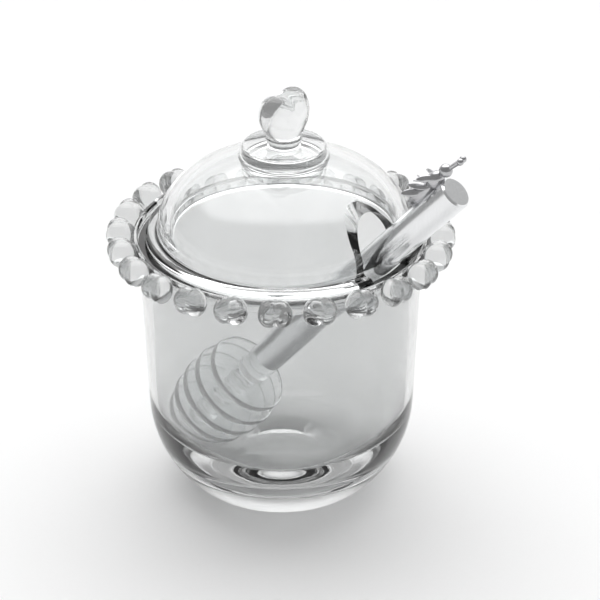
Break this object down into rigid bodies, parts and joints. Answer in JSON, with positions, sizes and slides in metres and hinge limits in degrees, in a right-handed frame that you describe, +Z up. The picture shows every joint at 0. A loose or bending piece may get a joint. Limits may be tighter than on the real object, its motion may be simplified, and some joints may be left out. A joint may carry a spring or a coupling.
{
  "type": "honey pot",
  "caption": "Clear glass honey pot with heart beads round its rim, a domed lid with a notch and a heart knob, and a ringed dipper leaning in it.",
  "frame": {"origin": "middle of the pot's foot, on the surface it stands on", "axes": "+Z up; -Y is the front; the dipper leans out between -Y and +X"},
  "size_m": [0.1174, 0.1162, 0.1436],
  "materials": {
    "pressed_glass": "clear, fire polished",
    "polished_steel": "polished stainless steel",
    "clear_acrylic": "clear, polished",
    "cast_metal": "cast and plated"
  },
  "bodies": {
    "root": {"pot": "pressed_glass", "lid": "pressed_glass", "dipper_rod": "polished_steel", "dipper_head": "clear_acrylic", "bee": "cast_metal"}
  },
  "joints": []
}
